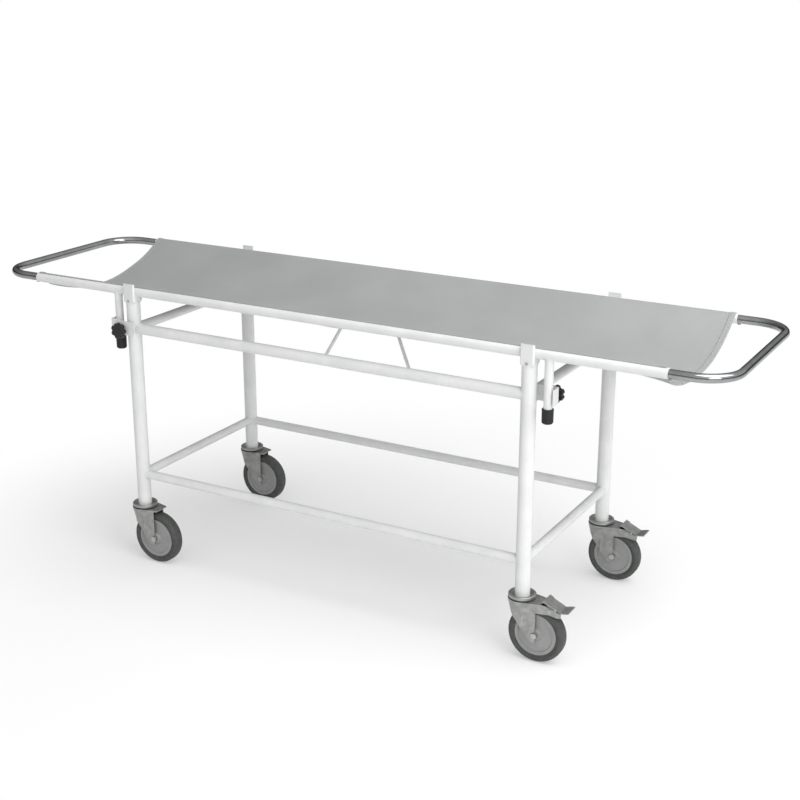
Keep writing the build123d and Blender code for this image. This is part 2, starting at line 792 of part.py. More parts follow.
wall_radius = wheel_dia / 2 - tyre_shoulder
tread_flat = tyre_width / 2 - tyre_shoulder
shoulder_mid = tyre_shoulder * math.sqrt(0.5)
with BuildPart() as tyre:
    with BuildSketch(wheel_plane):
        with BuildLine():
            Line((hub_dia / 2, 0), (hub_dia / 2, ring_half - hub_ring_draft))
            Line((hub_dia / 2, ring_half - hub_ring_draft), (wall_radius, tyre_width / 2))
            ThreePointArc(
                (wall_radius, tyre_width / 2),
                (wall_radius + shoulder_mid, tread_flat + shoulder_mid),
                (wheel_dia / 2, tread_flat),
            )
            Line((wheel_dia / 2, tread_flat), (wheel_dia / 2, 0))
            Line((wheel_dia / 2, 0), (hub_dia / 2, 0))
        make_face()
        mirror(about=Plane.XZ)
    revolve(axis=wheel_axis)

# Axle bolts: a round-headed bolt across the fork, with a hexagon nut behind
bolt_end = fork_width / 2 + nut_height + bolt_past_nut
with BuildPart() as axle_bolt:
    with BuildSketch(Plane.XZ.offset(fork_width / 2)):
        with Locations(axle_point):
            Circle(bolt_head_dia / 2)
    extrude(amount=bolt_head_height, taper=bolt_head_taper)
    with BuildSketch(Plane.XZ.offset(-bolt_end)):
        with Locations(axle_point):
            Circle(axle_dia / 2)
    extrude(amount=bolt_end + fork_width / 2)
with BuildPart() as axle_nut:
    with BuildSketch(Plane.XZ.offset(-fork_width / 2 - nut_height)):
        with Locations(axle_point):
            RegularPolygon(nut_width / 2, 6, major_radius=False)
            Circle(axle_dia / 2 + screw_fit, mode=Mode.SUBTRACT)
    extrude(amount=nut_height)
with BuildPart() as bolt_and_nut:
    add(axle_bolt.part)
    add(axle_nut.part)

# Brake: a pressed pedal on a cross pin. Its shoe meets the tyre when the tip is trodden down.
pedal_front_z = crown_top_z + pedal_front_rise
pedal_knee_z = crown_top_z - pedal_knee_drop
pedal_tip_z = crown_top_z - pedal_tip_drop
press = math.radians(brake_angle)
contact = math.radians(brake_contact_angle)
nose_reach = wheel_dia / 2 + brake_gap + shoe_nose_radius
pressed_x = caster_trail + nose_reach * math.cos(contact) - brake_pin_x
pressed_z = axle_z + nose_reach * math.sin(contact) - brake_pin_z
nose_x = brake_pin_x + pressed_x * math.cos(press) - pressed_z * math.sin(press)
nose_z = brake_pin_z + pressed_x * math.sin(press) + pressed_z * math.cos(press)
cover_slope = (pedal_front_z - pedal_knee_z) / (pedal_knee_x - pedal_front_x)


def cover_z(x):
    """Height of the pedal cover's mid line at x."""
    return pedal_knee_z + (pedal_knee_x - x) * cover_slope


waist_half = cheek_inner_y - pedal_side_gap
shoe_front_x = nose_x - 3 * shoe_nose_radius
shoe_rear_x = nose_x + shoe_nose_radius
with BuildPart() as pedal:
    with BuildSketch(Plane.XZ):
        with BuildLine():
            Polyline(
                (pedal_front_x - pedal_lip_length, pedal_front_z - pedal_lip_drop),
                (pedal_front_x, pedal_front_z - pedal_sheet / 2),
                (pedal_knee_x, pedal_knee_z - pedal_sheet / 2),
                (pedal_tip_x, pedal_tip_z - pedal_sheet / 2),
            )
        trace(line_width=pedal_sheet)
    extrude(amount=fork_width / 2, both=True)
    with BuildSketch(Plane.XY):
        waist_end_x = arm_end_x + pedal_waist_past_arm
        waist_length = waist_end_x - pedal_waist_start_x
        tip_length = pedal_tip_x + pedal_sheet - waist_end_x
        with Locations((pedal_waist_start_x / 2, 0)):
            Rectangle(pedal_waist_start_x, fork_width)
        with Locations((pedal_waist_start_x + waist_length / 2, 0)):
            Rectangle(waist_length, 2 * waist_half)
        with Locations((waist_end_x + tip_length / 2, 0)):
            RectangleRounded(tip_length, fork_width, pedal_corner_radius)
    extrude(amount=head_rim_z + wheel_dia, mode=Mode.INTERSECT)
    for inner_y in (waist_half - pedal_ear_thickness, -waist_half):
        with BuildSketch(Plane.XZ.offset(-inner_y - pedal_ear_thickness)):
            with BuildLine():
                left_x = brake_pin_x - pedal_ear_front
                right_x = brake_pin_x + pedal_ear_rear
                Polyline(
                    (left_x, cover_z(left_x) - pedal_sheet),
                    (brake_pin_x - pedal_ear_foot, brake_pin_z),
                    (brake_pin_x + pedal_ear_foot, brake_pin_z),
                    (right_x, cover_z(right_x) - pedal_sheet),
                    close=True,
                )
            make_face()
            with Locations((brake_pin_x, brake_pin_z)):
                Circle(pedal_ear_radius)
                Circle(brake_pin_dia / 2 + brake_pin_fit, mode=Mode.SUBTRACT)
        extrude(amount=pedal_ear_thickness)
    with BuildSketch(Plane.XZ):
        with BuildLine():
            Polyline(
                (nose_x - shoe_nose_radius, nose_z),
                (nose_x + shoe_nose_radius, nose_z),
                (shoe_rear_x, cover_z(shoe_rear_x) - pedal_sheet / 2),
                (shoe_front_x, cover_z(shoe_front_x) - pedal_sheet / 2),
                close=True,
            )
        make_face()
        with Locations((nose_x, nose_z)):
            Circle(shoe_nose_radius)
    extrude(amount=shoe_width / 2, both=True)

with BuildPart() as brake_pin:
    with BuildSketch(Plane.XZ):
        with Locations((brake_pin_x, brake_pin_z)):
            Circle(brake_pin_dia / 2)
    extrude(amount=fork_width / 2 + brake_pin_head, both=True)
    for start in (fork_width / 2, -fork_width / 2 - brake_pin_head):
        with BuildSketch(Plane.XZ.offset(start)):
            with Locations((brake_pin_x, brake_pin_z)):
                Circle(brake_pin_head_dia / 2)
        extrude(amount=brake_pin_head)

plain_fork = fork(braked=False)
braked_fork = fork(braked=True)
for corner in corners:
    place = corner_place(corner)
    braked = corner.endswith("right")
    save_at(swivel_head.part, f"swivel_head_{corner}", place)
    save_at(braked_fork if braked else plain_fork, f"fork_{corner}", place)
    save_at(wheel_hub.part, f"wheel_hub_{corner}", place)
    save_at(tyre.part, f"tyre_{corner}", place)
    save_at(bolt_and_nut.part, f"axle_bolt_{corner}", place)
    if braked:
        save_at(pedal.part, f"brake_pedal_{corner}", place)
        save_at(brake_pin.part, f"brake_pin_{corner}", place)

# Outer clamps: a bent claw plate spans leg and foot, drawn in by a knob.
# Each is made for the rear right leg and turned half round for the front left one.
sheet_mid = claw_thickness / 2
joggle_x = foot_offset - foot_dia / 2
with BuildPart() as claw:
    with BuildSketch(Plane.XY.offset(claw_bottom_z)):
        with BuildLine():
            FilletPolyline(
                (-claw_inboard_reach, leg_seat + sheet_mid),
                (joggle_x - claw_joggle_run / 2, leg_seat + sheet_mid),
                (joggle_x + claw_joggle_run / 2, foot_seat + sheet_mid),
                (lip_inner_x + sheet_mid, foot_seat + sheet_mid),
                (lip_inner_x + sheet_mid, -claw_lip_back),
                radius=sheet_bend_radius,
            )
        trace(line_width=claw_thickness)
    extrude(amount=claw_height)
    lower_inboard = claw.edges().filter_by(Axis.Y).group_by(Axis.X)[0].sort_by(Axis.Z)[0]
    fillet(lower_inboard, radius=claw_corner_radius)
    with BuildSketch(Plane.XZ):
        with Locations((bush_offset, clamp_z)):
            Circle(stud_dia / 2 + stud_fit)
    extrude(amount=-2 * leg_dia, mode=Mode.SUBTRACT)

with BuildPart() as bush:
    with BuildSketch(Plane.XZ.offset(-bush_length / 2)):
        with Locations((bush_offset, clamp_z)):
            Circle(bush_dia / 2)
            Circle(stud_dia / 2 + stud_fit, mode=Mode.SUBTRACT)
    extrude(amount=bush_length)
    with BuildSketch(Plane.XY.offset(clamp_z - bush_dia)):
        Circle(leg_dia / 2)
    extrude(amount=2 * bush_dia, mode=Mode.SUBTRACT)

# Inner clamps: beside the cross rail there is room only for a fixed strap round the foot.
# Its screw pushes a pad onto the foot.
strap_mid = strap_thickness / 2
with BuildPart() as strap:
    with BuildSketch(Plane.XY.offset(claw_bottom_z)):
        with BuildLine():
            FilletPolyline(
                (strap_start_x + strap_mid, strap_flange_start_y),
                (strap_start_x + strap_mid, strap_inner_y + strap_mid),
                (lip_inner_x + strap_mid, strap_inner_y + strap_mid),
                (lip_inner_x + strap_mid, -claw_lip_back),
                radius=sheet_bend_radius,
            )
        trace(line_width=strap_thickness)
    extrude(amount=claw_height)
    with BuildSketch(Plane.XZ.offset(-strap_outer_y - strap_nut_height)):
        with Locations((foot_offset, clamp_z)):
            RegularPolygon(strap_nut_dia / 2, 6, major_radius=False)
    extrude(amount=strap_nut_height)
    with BuildSketch(Plane.XZ):
        with Locations((foot_offset, clamp_z)):
            Circle(stud_dia / 2 + stud_fit)
    extrude(amount=-2 * strap_outer_y, mode=Mode.SUBTRACT)
    with BuildSketch(Plane.XY.offset(claw_bottom_z)):
        Circle(leg_dia / 2)
    extrude(amount=claw_height, mode=Mode.SUBTRACT)

with BuildPart() as pad:
    with BuildSketch(Plane.XZ.offset(-foot_seat - pad_thickness)):
        with Locations((foot_offset, clamp_z)):
            Circle(pad_dia / 2)
    extrude(amount=pad_thickness)
    with BuildSketch(Plane.XZ.offset(-foot_seat - pad_thickness)):
        with Locations((foot_offset, clamp_z)):
            Circle(pad_socket_dia / 2 + stud_fit)
    extrude(amount=pad_socket_depth, mode=Mode.SUBTRACT)


def star_knob(stud_x, base_y, stud_end_y, nose_end_y=None):
    """A lobed knob with its stud, which points back towards the leg."""
    with BuildPart() as knob:
        lobe_y = base_y + knob_hub_height
        with BuildSketch(Plane.XZ.offset(-lobe_y - knob_thickness)):
            with Locations((stud_x, clamp_z)):
                Circle(knob_dia / 2)
                with PolarLocations(knob_dia / 2 + knob_scallop_offset, knob_lobes):
                    Circle(knob_scallop_dia / 2, mode=Mode.SUBTRACT)
        extrude(amount=knob_thickness)
        rims = knob.faces().filter_by(Axis.Y).edges()
        chamfer(rims, length=knob_rim_chamfer)
        with BuildSketch(Plane.XZ.offset(-lobe_y)):
            with Locations((stud_x, clamp_z)):
                Circle(knob_hub_dia / 2)
        extrude(amount=knob_hub_height)
        with BuildSketch(Plane.XZ.offset(-base_y)):
            with Locations((stud_x, clamp_z)):
                Circle(stud_dia / 2)
        extrude(amount=base_y - stud_end_y)
        if nose_end_y is not None:
            with BuildSketch(Plane.XZ.offset(-stud_end_y)):
                with Locations((stud_x, clamp_z)):
                    Circle(pad_socket_dia / 2)
            extrude(amount=stud_end_y - nose_end_y)
    return knob.part


claw_knob = star_knob(
    bush_offset, leg_seat + claw_thickness + knob_gap, clamp_travel - bush_length / 2)
pad_back_y = foot_seat + pad_thickness
strap_knob = star_knob(
    foot_offset,
    strap_outer_y + strap_nut_height + clamp_travel + knob_gap,
    pad_back_y + stud_fit,
    pad_back_y - pad_socket_depth + stud_fit,
)
outer_places = {
    "rear_right": corner_place("rear_right"),
    "front_left": corner_place("front_left", turned=True),
}
inner_places = {
    "front_right": corner_place("front_right"),
    "rear_left": corner_place("rear_left", turned=True),
}
save_at(bush.part, "clamp_bushes", *outer_places.values())
save_at(strap.part, "clamp_straps", *inner_places.values())
for corner, place in outer_places.items():
    save_at(claw.part, f"clamp_claw_{corner}", place)
    save_at(claw_knob, f"clamp_knob_{corner}", place)
for corner, place in inner_places.items():
    save_at(pad.part, f"clamp_pad_{corner}", place)
    save_at(strap_knob, f"clamp_knob_{corner}", place)
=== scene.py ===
import bisect
import math

import bmesh
import bpy
from mathutils import Matrix, Vector, noise


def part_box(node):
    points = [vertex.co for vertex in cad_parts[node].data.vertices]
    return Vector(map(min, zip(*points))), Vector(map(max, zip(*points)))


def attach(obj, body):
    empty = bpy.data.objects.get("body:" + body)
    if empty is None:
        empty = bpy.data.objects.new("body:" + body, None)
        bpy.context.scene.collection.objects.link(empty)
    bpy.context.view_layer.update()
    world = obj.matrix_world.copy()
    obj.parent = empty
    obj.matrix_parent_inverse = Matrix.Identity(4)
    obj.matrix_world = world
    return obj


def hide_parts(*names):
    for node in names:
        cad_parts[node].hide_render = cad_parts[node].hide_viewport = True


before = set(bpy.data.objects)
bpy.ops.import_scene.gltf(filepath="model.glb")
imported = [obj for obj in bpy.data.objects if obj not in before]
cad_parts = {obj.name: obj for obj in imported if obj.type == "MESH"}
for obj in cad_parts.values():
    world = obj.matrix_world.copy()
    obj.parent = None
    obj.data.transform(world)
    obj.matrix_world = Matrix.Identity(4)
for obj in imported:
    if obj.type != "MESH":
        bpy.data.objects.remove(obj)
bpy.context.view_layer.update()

# Tube frame: legs and rails, round steel tube welded together and sprayed with white powder,
# which is baked on. The coat has a faint orange peel and is half glossy.
MM = 0.001
CORNERS = ("front_left", "front_right", "rear_left", "rear_right")


def linear(colour):
    """An sRGB hex colour as the linear values that a shader works in."""
    coded = [int(colour[i:i + 2], 16) / 255 for i in (1, 3, 5)]
    flat = [c / 12.92 if c <= 0.04045 else ((c + 0.055) / 1.055) ** 2.4 for c in coded]
    return (*flat, 1.0)


def new_material(name, colour, metallic=0.0, roughness=0.5, **shader_values):
    """A material with one Principled shader, its plain values on the shader's own sockets."""
    material = bpy.data.materials.new(name)
    material.use_nodes = True
    shader = material.node_tree.nodes["Principled BSDF"]
    shader.inputs["Base Color"].default_value = linear(colour)
    shader.inputs["Metallic"].default_value = metallic
    shader.inputs["Roughness"].default_value = roughness
    for socket, value in shader_values.items():
        shader.inputs[socket.replace("_", " ")].default_value = value
    return material, shader


def add_node(owner, kind, links=None, values=None, **settings):
    """One shader node, with what feeds its inputs, its input values and its settings."""
    node = owner.node_tree.nodes.new(kind)
    for key, value in settings.items():
        setattr(node, key, value)
    for key, value in (values or {}).items():
        node.inputs[key].default_value = value
    for key, output in (links or {}).items():
        owner.node_tree.links.new(output, node.inputs[key])
    return node


def mottle(material, shader, dark, light, size_mm):
    """Base colour that drifts between two tones in soft patches of the given size."""
    coord = add_node(material, "ShaderNodeTexCoord")
    cloud = add_node(material, "ShaderNodeTexNoise", {"Vector": coord.outputs["Object"]},
                     {"Scale": 1 / (size_mm * MM), "Detail": 4.0, "Roughness": 0.55})
    tone = add_node(material, "ShaderNodeValToRGB", {"Fac": cloud.outputs["Fac"]})
    for stop, place, colour in zip(tone.color_ramp.elements, (0.35, 0.65), (dark, light)):
        stop.position = place
        stop.color = linear(colour)
    material.node_tree.links.new(tone.outputs["Color"], shader.inputs["Base Color"])
    return coord


def grain(material, shader, coord, size_mm, depth_mm, strength):
    """Fine relief on the surface: bumps of the given size and depth."""
    bumps = add_node(material, "ShaderNodeTexNoise", {"Vector": coord.outputs["Object"]},
                     {"Scale": 1 / (size_mm * MM), "Detail": 2.0})
    relief = add_node(material, "ShaderNodeBump", {"Height": bumps.outputs["Fac"]},
                      {"Distance": depth_mm * MM, "Strength": strength})
    material.node_tree.links.new(relief.outputs["Normal"], shader.inputs["Normal"])


def finish_nodes(material, *names):
    """Give pieces that the frame holds their material."""
    for name in names:
        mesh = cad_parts[name].data
        mesh.materials.clear()
        mesh.materials.append(material)


# Powder coat: a light grey white, with orange peel about 2 mm across.
powder_white, powder_shader = new_material(
    "white_powder_coat", "#DEDFDF", roughness=0.34, Specular_IOR_Level=0.45)
powder_coord = mottle(powder_white, powder_shader, "#D9DADA", "#E1E2E1", 60)
grain(powder_white, powder_shader, powder_coord, 2.2, 0.02, 0.6)
rails = [f"{level}_{kind}" for level in ("upper", "lower")
         for kind in ("rail_front", "rail_rear", "cross_rail_left", "cross_rail_right")]
finish_nodes(powder_white, *rails, *[f"leg_{c}" for c in CORNERS])

# Welds: a bead runs round each tube end where it was welded to the next tube. It was coated
# along with the tubes.
BEAD_RADIUS = 1.7 * MM
BEAD_POINTS = 40


def saddle(joint, away, host_axis, tube_radius, host_radius):
    """Points round a tube that leaves a thicker round tube at a right angle."""
    across_both = away.cross(host_axis)
    points = []
    for i in range(BEAD_POINTS):
        turn = 2 * math.pi * i / BEAD_POINTS
        wide = tube_radius * math.sin(turn)
        points.append(joint + host_axis * tube_radius * math.cos(turn) + across_both * wide
                      + away * math.sqrt(host_radius ** 2 - wide ** 2))
    return points


def weld_beads(name, loops, body):
    """One piece of coated weld beads, a closed round bead along each loop of points."""
    path = bpy.data.curves.new(name, "CURVE")
    path.dimensions = "3D"
    path.bevel_depth = BEAD_RADIUS
    path.bevel_resolution = 2
    for points in loops:
        spline = path.splines.new("POLY")
        spline.points.add(len(points) - 1)
        for target, point in zip(spline.points, points):
            target.co = (*point, 1.0)
        spline.use_cyclic_u = True
    former = bpy.data.objects.new(name, path)
    mesh = bpy.data.meshes.new_from_object(former)
    bpy.data.objects.remove(former)
    for polygon in mesh.polygons:
        polygon.use_smooth = True
    mesh.materials.append(powder_white)
    beads = bpy.data.objects.new(name, mesh)
    bpy.context.scene.collection.objects.link(beads)
    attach(beads, body)


UP, ALONG, ACROSS = Vector((0, 0, 1)), Vector((1, 0, 0)), Vector((0, 1, 0))
leg_low, leg_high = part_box("leg_rear_right")
leg_radius = (leg_high[0] - leg_low[0]) / 2
leg_x = (leg_high[0] + leg_low[0]) / 2
leg_y = (leg_high[1] + leg_low[1]) / 2
rail_loops = []
for rail in rails:
    low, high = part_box(rail)
    rail_radius = (high[2] - low[2]) / 2
    rail_z = (high[2] + low[2]) / 2
    for x_side in (-1, 1):
        for y_side in (-1, 1):
            joint = Vector((x_side * leg_x, y_side * leg_y, rail_z))
            if "cross" in rail:
                away, meets = -ACROSS * y_side, rail.endswith("right") == (x_side > 0)
            else:
                away, meets = -ALONG * x_side, rail.endswith("rear") == (y_side > 0)
            if meets:
                rail_loops.append(saddle(joint, away, UP, rail_radius, leg_radius))
weld_beads("frame_welds", rail_loops, "frame")

# Cradles: cast blocks pressed into the leg tops, in the same white coat, each held by a
# small plated screw.
finish_nodes(powder_white, *[f"cradle_{c}" for c in CORNERS])
plated_steel, plated_shader = new_material(
    "bright_zinc_plated_steel", "#B9BAB8", metallic=1.0, roughness=0.3)
plated_coord = mottle(plated_steel, plated_shader, "#A9AAA8", "#C4C5C3", 6)
grain(plated_steel, plated_shader, plated_coord, 0.6, 0.01, 0.5)
finish_nodes(plated_steel, "cradle_screws", *[f"axle_bolt_{c}" for c in CORNERS],
             "brake_pin_front_right", "brake_pin_rear_right",
             "clamp_pad_front_right", "clamp_pad_rear_left")

# Casters: turned heads and pressed forks in dull zinc plate. Passivated zinc is a soft grey
# with cloudy patches, and blurs what it reflects.
dull_zinc, zinc_shader = new_material(
    "dull_zinc_plate", "#A2A3A1", metallic=0.85, roughness=0.42)
zinc_coord = mottle(dull_zinc, zinc_shader, "#959694", "#ACADAB", 18)
grain(dull_zinc, zinc_shader, zinc_coord, 0.8, 0.012, 0.5)
finish_nodes(dull_zinc, *[f"swivel_head_{c}" for c in CORNERS], *[f"fork_{c}" for c in CORNERS],
             "brake_pedal_front_right", "brake_pedal_rear_right")

# Wheels: hubs moulded in grey nylon, with solid rubber tyres bonded round them.
grey_nylon, nylon_shader = new_material("moulded_grey_nylon", "#909190", roughness=0.48)
nylon_coord = mottle(grey_nylon, nylon_shader, "#8C8D8C", "#949594", 30)
grain(grey_nylon, nylon_shader, nylon_coord, 0.5, 0.01, 0.5)
finish_nodes(grey_nylon, *[f"wheel_hub_{c}" for c in CORNERS])
tyre_rubber, tyre_shader = new_material("solid_grey_rubber", "#454745", roughness=0.62)
tyre_coord = mottle(tyre_rubber, tyre_shader, "#3F413F", "#4B4D4B", 12)
grain(tyre_rubber, tyre_shader, tyre_coord, 0.9, 0.03, 0.6)
finish_nodes(tyre_rubber, *[f"tyre_{c}" for c in CORNERS])

# Clamps: bent plates, straps and bushes in the white coat, with black moulded knobs.
finish_nodes(powder_white, "clamp_bushes", "clamp_straps", "clamp_claw_front_left",
             "clamp_claw_rear_right")
black_nylon, black_shader = new_material("moulded_black_nylon", "#151616", roughness=0.42)
black_coord = mottle(black_nylon, black_shader, "#121313", "#191A1A", 10)
grain(black_nylon, black_shader, black_coord, 0.5, 0.012, 0.6)
finish_nodes(black_nylon, *[f"clamp_knob_{c}" for c in CORNERS])

# Stretcher poles and feet: tubes in the white coat, the feet shod with black rubber tips.
finish_nodes(powder_white, "pole_front", "pole_rear", "foot_tubes", "spreader", "rod_frame")
black_rubber, rubber_shader = new_material("moulded_black_rubber", "#171818", roughness=0.6)
rubber_coord = mottle(black_rubber, rubber_shader, "#141515", "#1B1C1C", 8)
grain(black_rubber, rubber_shader, rubber_coord, 0.6, 0.02, 0.6)
finish_nodes(black_rubber, "foot_tips")
pole_low, pole_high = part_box("pole_rear")
pole_y = (pole_high[1] + pole_low[1]) / 2
pole_z = (pole_high[2] + pole_low[2]) / 2
pole_radius = (pole_high[2] - pole_low[2]) / 2
FOOT_RADIUS = 11 * MM
foot_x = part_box("foot_tubes")[1][0] - FOOT_RADIUS
foot_loops = [saddle(Vector((x, y, pole_z)), -UP, ALONG, FOOT_RADIUS, pole_radius)
              for x in (-foot_x, foot_x) for y in (-pole_y, pole_y)]
weld_beads("foot_welds", foot_loops, "stretcher")

# Handles: thin steel tube, bent, polished and chromed.
chrome, chrome_shader = new_material(
    "polished_chrome_tube", "#9E9FA0", metallic=1.0, roughness=0.14)
chrome_coord = mottle(chrome, chrome_shader, "#969798", "#A6A7A8", 40)
grain(chrome, chrome_shader, chrome_coord, 1.2, 0.006, 0.4)
finish_nodes(chrome, "handle_left", "handle_right")

# Sling: one sheet of grey coated cloth, hung between the poles. It goes over each pole top
# and sags between them in an arc, with a turned and sewn hem at both ends. Sizes are in mm.
POLE = Vector((267.0, 797.0))
POLE_RADIUS = 13.0
SLING_HALF = 928.0
SAG_RADIUS = 476.0
SAG_STEPS = 80
WRAP_STEPS = 16
CLOTH_LIFT = 0.9
CLOTH_THICKNESS = 1.2
EDGE_PAST_TOP = 4.0
wrap_radius = POLE_RADIUS + CLOTH_LIFT
leaving_y = POLE.x * SAG_RADIUS / (SAG_RADIUS + wrap_radius)


def sling_section():
    """Points (y, z) across the sling, from the front edge to the rear one."""
    sag_centre_z = POLE.y + math.sqrt((SAG_RADIUS + wrap_radius) ** 2 - POLE.x ** 2)
    steepest = math.asin(leaving_y / SAG_RADIUS)
    past_top = math.asin(EDGE_PAST_TOP / wrap_radius)
    half = []
    for i in range(SAG_STEPS):
        turn = steepest * i / SAG_STEPS
        half.append(Vector((math.sin(turn), -math.cos(turn))) * SAG_RADIUS
                    + Vector((0, sag_centre_z)))
    for i in range(WRAP_STEPS + 1):
        turn = (past_top + steepest) * i / WRAP_STEPS - steepest
        half.append(POLE + Vector((math.sin(turn), math.cos(turn))) * wrap_radius)
    front = [Vector((-point.x, point.y)) for point in reversed(half[1:])]
    return front + half


section = sling_section()
section_runs = [0.0]
for near, far in zip(section, section[1:]):
    section_runs.append(section_runs[-1] + (far - near).length)
cloth_width = section_runs[-1]


def across(fraction):
    """The point at a fraction of the way along the section."""
    want = fraction * cloth_width
    i = min(max(0, bisect.bisect_left(section_runs, want) - 1), len(section) - 2)
    part = (want - section_runs[i]) / (section_runs[i + 1] - section_runs[i])
    return section[i].lerp(section[i + 1], part)


# How the cloth departs from its even sag: it sags a little more towards the right end, and its
# front edge is loose near both ends and hangs down beside its pole.
RIGHT_SAG = 3.5
RIGHT_SAG_FROM = 250.0
RIGHT_SAG_RUN = 680.0
LOOSE_RIGHT = 36.0
LOOSE_RIGHT_FROM = 640.0
LOOSE_LEFT = 27.0
LOOSE_LEFT_FROM = 600.0
HANG_STARTS_WITHIN = 8.0
HANG_FADES_OVER = 150.0
REAR_HOLDS_OVER = 30.0
RIPPLE_HEIGHT = 2.2
WRINKLE_HEIGHT = 0.7
CREASE_HEIGHT = 1.3


def past(x, start, run):
    """How far x lies past a start, as a share of a run, and 0 before it."""
    return max(0.0, (x - start) / run)


def slack(x, y):
    """How far the cloth hangs below its even sag, with its ripples and creases."""
    inside = leaving_y - abs(y)
    if inside <= 0:
        return 0.0
    inner = inside / leaving_y
    right_end = past(x, RIGHT_SAG_FROM, RIGHT_SAG_RUN) ** 1.5
    drop = RIGHT_SAG * right_end * min(1.0, 2.5 * inner)
    loose = (LOOSE_RIGHT * past(x, LOOSE_RIGHT_FROM, SLING_HALF - LOOSE_RIGHT_FROM) ** 2
             + LOOSE_LEFT * past(-x, LOOSE_LEFT_FROM, SLING_HALF - LOOSE_LEFT_FROM) ** 2)
    from_front = y + leaving_y
    drop += (loose * (1 - math.exp(-from_front / HANG_STARTS_WITHIN))
             * math.exp(-from_front / HANG_FADES_OVER)
             * min(1.0, (leaving_y - y) / REAR_HOLDS_OVER))
    # Ripples are about 260 mm long, wrinkles 70 mm, and the creases lie aslant at 45 mm.
    ripple = noise.noise(Vector((x / 260, y / 90, 3.1))) * RIPPLE_HEIGHT
    wrinkle = noise.noise(Vector((x / 70 + y / 240, y / 60, 8.4))) * WRINKLE_HEIGHT
    crease = noise.noise(Vector((x / 45 + y / 60, x / 400, 5.7))) * CREASE_HEIGHT * right_end
    return drop - (ripple + wrinkle + crease) * min(1.0, 3 * inner)


def cloth_point(x, fraction):
    """The cloth's (y, z) at a place along and across it. It lies against the front pole."""
    point = across(fraction)
    point = Vector((point.x, point.y - slack(x, point.x)))
    front_pole = Vector((-POLE.x, POLE.y))
    from_pole = point - front_pole
    if from_pole.length < wrap_radius:
        point = front_pole + from_pole.normalized() * wrap_radius
    return point


HEM_DEPTH = 14.0
HEM_ROUND = 0.66
HEM_STEPS = 8
ACROSS_STEPS = 140
ALONG_STEPS = 240
flat_half = SLING_HALF - HEM_ROUND


def hem_turn(end):
    """Stations (x, lift) that take the cloth round its end and back over itself."""
    turned = []
    for i in range(1, HEM_STEPS + 1):
        turn = math.pi * i / HEM_STEPS
        turned.append((end * (flat_half + HEM_ROUND * math.sin(turn)),
                       HEM_ROUND * (1 - math.cos(turn))))
    for i in range(1, HEM_STEPS + 1):
        turned.append((end * (flat_half - HEM_DEPTH * i / HEM_STEPS), 2 * HEM_ROUND))
    return turned


stations = hem_turn(-1)[::-1]
stations += [(flat_half * (2 * i / ALONG_STEPS - 1), 0.0) for i in range(ALONG_STEPS + 1)]
stations += hem_turn(1)
station_runs = [0.0]
for (x0, lift0), (x1, lift1) in zip(stations, stations[1:]):
    station_runs.append(station_runs[-1] + math.hypot(x1 - x0, lift1 - lift0))


def on_sling(x, fraction, lift):
    """A point of the cloth, lifted off its lower face, in metres."""
    point = cloth_point(x, fraction)
    if lift:
        step = 0.5 / ACROSS_STEPS
        ahead = cloth_point(x, min(1.0, fraction + step))
        behind = cloth_point(x, max(0.0, fraction - step))
        tangent = (ahead - behind).normalized()
        point += Vector((-tangent.y, tangent.x)) * lift
    return Vector((x, point.x, point.y)) * MM


bm = bmesh.new()
last_station = len(stations) - 1
bmesh.ops.create_grid(bm, x_segments=last_station, y_segments=ACROSS_STEPS, size=0.5)
weave_uv = bm.loops.layers.uv.new("weave")
for face in bm.faces:
    for loop in face.loops:
        station = round((loop.vert.co.x + 0.5) * last_station)
        loop[weave_uv].uv = (station_runs[station] * MM, loop.vert.co.y * cloth_width * MM)
for vert in bm.verts:
    x, lift = stations[round((vert.co.x + 0.5) * last_station)]
    vert.co = on_sling(x, min(1.0, max(0.0, vert.co.y + 0.5)), lift)
bmesh.ops.recalc_face_normals(bm, faces=bm.faces)
sling_mesh = bpy.data.meshes.new("sling_cloth")
bm.to_mesh(sling_mesh)
bm.free()
for polygon in sling_mesh.polygons:
    polygon.use_smooth = True
sling_cloth = bpy.data.objects.new("sling_cloth", sling_mesh)
bpy.context.scene.collection.objects.link(sling_cloth)
wall = sling_cloth.modifiers.new("wall", "SOLIDIFY")
wall.thickness = CLOTH_THICKNESS * MM
wall.offset = 0.0

# Coated cloth: a polyester weave under a thin grey coat, half dull, its threads just showing.
# The real threads are 0.5 mm apart; drawn 1.6 mm apart so that they show.
THREAD_SPACING = 1.6
THREAD_HEIGHT = 0.05
coated_cloth, cloth_shader = new_material(
    "coated_polyester_cloth", "#9A9C9B", roughness=0.5, Sheen_Weight=0.15)
cloth_coord = mottle(coated_cloth, cloth_shader, "#979998", "#9D9F9E", 180)
threads = add_node(coated_cloth, "ShaderNodeTexChecker", {"Vector": cloth_coord.outputs["UV"]},
                   {"Scale": 1 / (THREAD_SPACING * MM)})
weave = add_node(coated_cloth, "ShaderNodeBump", {"Height": threads.outputs["Fac"]},
                 {"Distance": THREAD_HEIGHT * MM, "Strength": 0.35})
coated_cloth.node_tree.links.new(weave.outputs["Normal"], cloth_shader.inputs["Normal"])
sling_mesh.materials.append(coated_cloth)
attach(sling_cloth, "stretcher")
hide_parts("sling")

